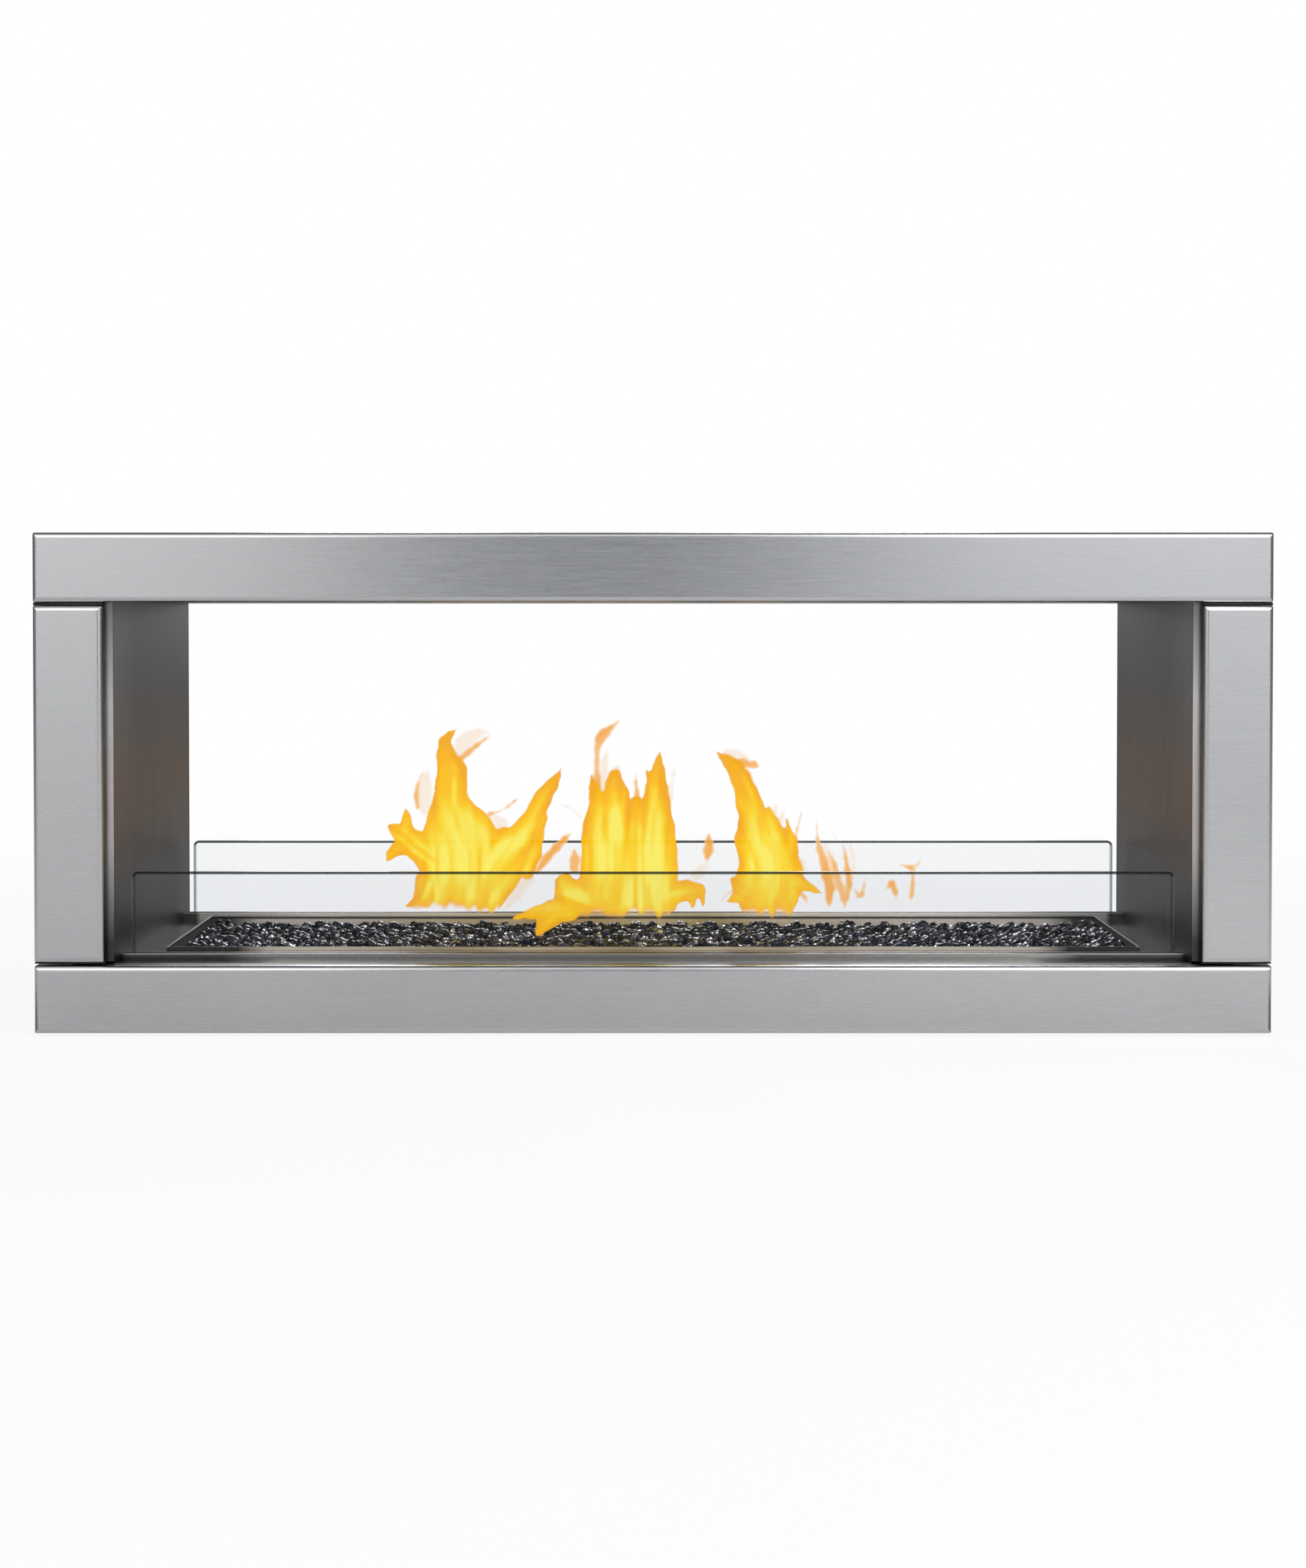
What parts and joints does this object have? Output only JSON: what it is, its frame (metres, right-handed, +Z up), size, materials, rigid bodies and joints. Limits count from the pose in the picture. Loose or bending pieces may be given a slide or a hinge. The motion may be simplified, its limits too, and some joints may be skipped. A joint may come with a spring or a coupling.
{
  "type": "double-sided fireplace",
  "caption": "See-through linear gas fireplace in brushed steel, with low glass guards on both faces, a tray of black fire glass and controls behind a drop-down door.",
  "frame": {"origin": "on the ground under the middle of the casing", "axes": "+X to the right seen from the front, +Y from the front face to the rear face, +Z up"},
  "size_m": [1.34, 0.406, 0.5458],
  "materials": {
    "brushed_trim": "stainless sheet with a fine straight brushed grain",
    "liner_steel": "heat-darkened stainless sheet, satin",
    "polished_floor": "stainless sheet, polished nearly to a mirror",
    "guard_glass": "clear tempered glass",
    "fire_glass": "loose black fire glass with smooth tumbled faces",
    "casing_steel": "galvanised sheet, matte",
    "hardware_steel": "satin steel",
    "fitting_brass": "machined brass",
    "gas_tube": "drawn aluminium tube",
    "valve_casting": "die-cast aluminium, matte",
    "black_plastic": "black moulded plastic",
    "button_red": "red moulded plastic",
    "lever_red": "red enamel",
    "ceramic_white": "glazed white ceramic",
    "wire_black": "silicone ignition lead"
  },
  "bodies": {
    "root": {"front_top_trim": "brushed_trim", "front_left_trim": "brushed_trim", "front_right_trim": "brushed_trim", "rear_top_trim": "brushed_trim", "rear_left_trim": "brushed_trim", "rear_right_trim": "brushed_trim", "rear_bottom_trim": "brushed_trim", "front_glass_channel": "polished_floor", "rear_glass_channel": "polished_floor", "door_hinge_pin": "hardware_steel", "left_hinge_bracket": "casing_steel", "right_hinge_bracket": "casing_steel", "left_door_catch": "black_plastic", "right_door_catch": "black_plastic", "base_pan": "casing_steel", "left_casing_side": "casing_steel", "right_casing_side": "casing_steel", "casing_top": "casing_steel", "left_liner_wall": "liner_steel", "right_liner_wall": "liner_steel", "ceiling_liner": "liner_steel", "ceiling_heat_shield": "casing_steel", "front_hearth_ledge": "polished_floor", "rear_hearth_ledge": "polished_floor", "front_floor_strip": "polished_floor", "rear_floor_strip": "polished_floor", "left_floor_plate": "polished_floor", "right_floor_plate": "polished_floor", "left_tray_support": "casing_steel", "right_tray_support": "casing_steel", "media_tray": "liner_steel", "media_plate": "liner_steel", "glass_media_bed": "fire_glass", "burner_tube": "hardware_steel", "left_burner_cradle": "casing_steel", "right_burner_cradle": "casing_steel", "gas_orifice": "fitting_brass", "orifice_holder": "fitting_brass", "manifold_tube": "gas_tube", "inlet_fitting": "fitting_brass", "supply_tube": "hardware_steel", "shutoff_valve": "fitting_brass", "gas_valve": "valve_casting", "valve_bracket": "casing_steel", "control_panel": "casing_steel", "igniter_module": "black_plastic", "pilot_bracket": "hardware_steel", "pilot_hood": "hardware_steel", "spark_electrode": "ceramic_white", "pilot_tube": "gas_tube", "thermocouple": "fitting_brass", "igniter_lead": "wire_black"},
    "front_guard": {"front_glass_guard": "guard_glass"},
    "rear_guard": {"rear_glass_guard": "guard_glass"},
    "access_door": {"front_access_door": "brushed_trim"},
    "valve_spindle": {"valve_shaft": "hardware_steel"},
    "knob": {"control_knob": "black_plastic"},
    "igniter": {"igniter_button": "button_red"},
    "shutoff": {"shutoff_lever": "lever_red"},
    "air_shutter": {"air_shutter": "hardware_steel"}
  },
  "joints": [
    {"name": "front_guard_lift", "type": "slide", "parent": "root", "child": "front_guard", "axis": [0, 0, 1], "range_m": [0, 0.12]},
    {"name": "rear_guard_lift", "type": "slide", "parent": "root", "child": "rear_guard", "axis": [0, 0, 1], "range_m": [0, 0.12]},
    {"name": "access_door_fold", "type": "hinge", "parent": "root", "child": "access_door", "pos_m": [0, -0.196, 0.01], "axis": [1, 0, 0], "range_deg": [0, 90]},
    {"name": "control_knob_turn", "type": "hinge", "parent": "root", "child": "valve_spindle", "pos_m": [0.581, -0.165, 0.042], "axis": [0, 1, 0], "range_deg": [-90, 90]},
    {"name": "control_knob_press", "type": "slide", "parent": "valve_spindle", "child": "knob", "axis": [0, 1, 0], "range_m": [0, 0.003], "stiffness_N_per_m": 800},
    {"name": "igniter_button_press", "type": "slide", "parent": "root", "child": "igniter", "axis": [0, 1, 0], "range_m": [0, 0.004], "stiffness_N_per_m": 800},
    {"name": "shutoff_lever_turn", "type": "hinge", "parent": "root", "child": "shutoff", "pos_m": [0.533, -0.174, 0.04], "axis": [0, 1, 0], "range_deg": [-90, 0]},
    {"name": "air_shutter_turn", "type": "hinge", "parent": "root", "child": "air_shutter", "pos_m": [0.565, 0, 0.047], "axis": [1, 0, 0], "range_deg": [0, 50]}
  ]
}
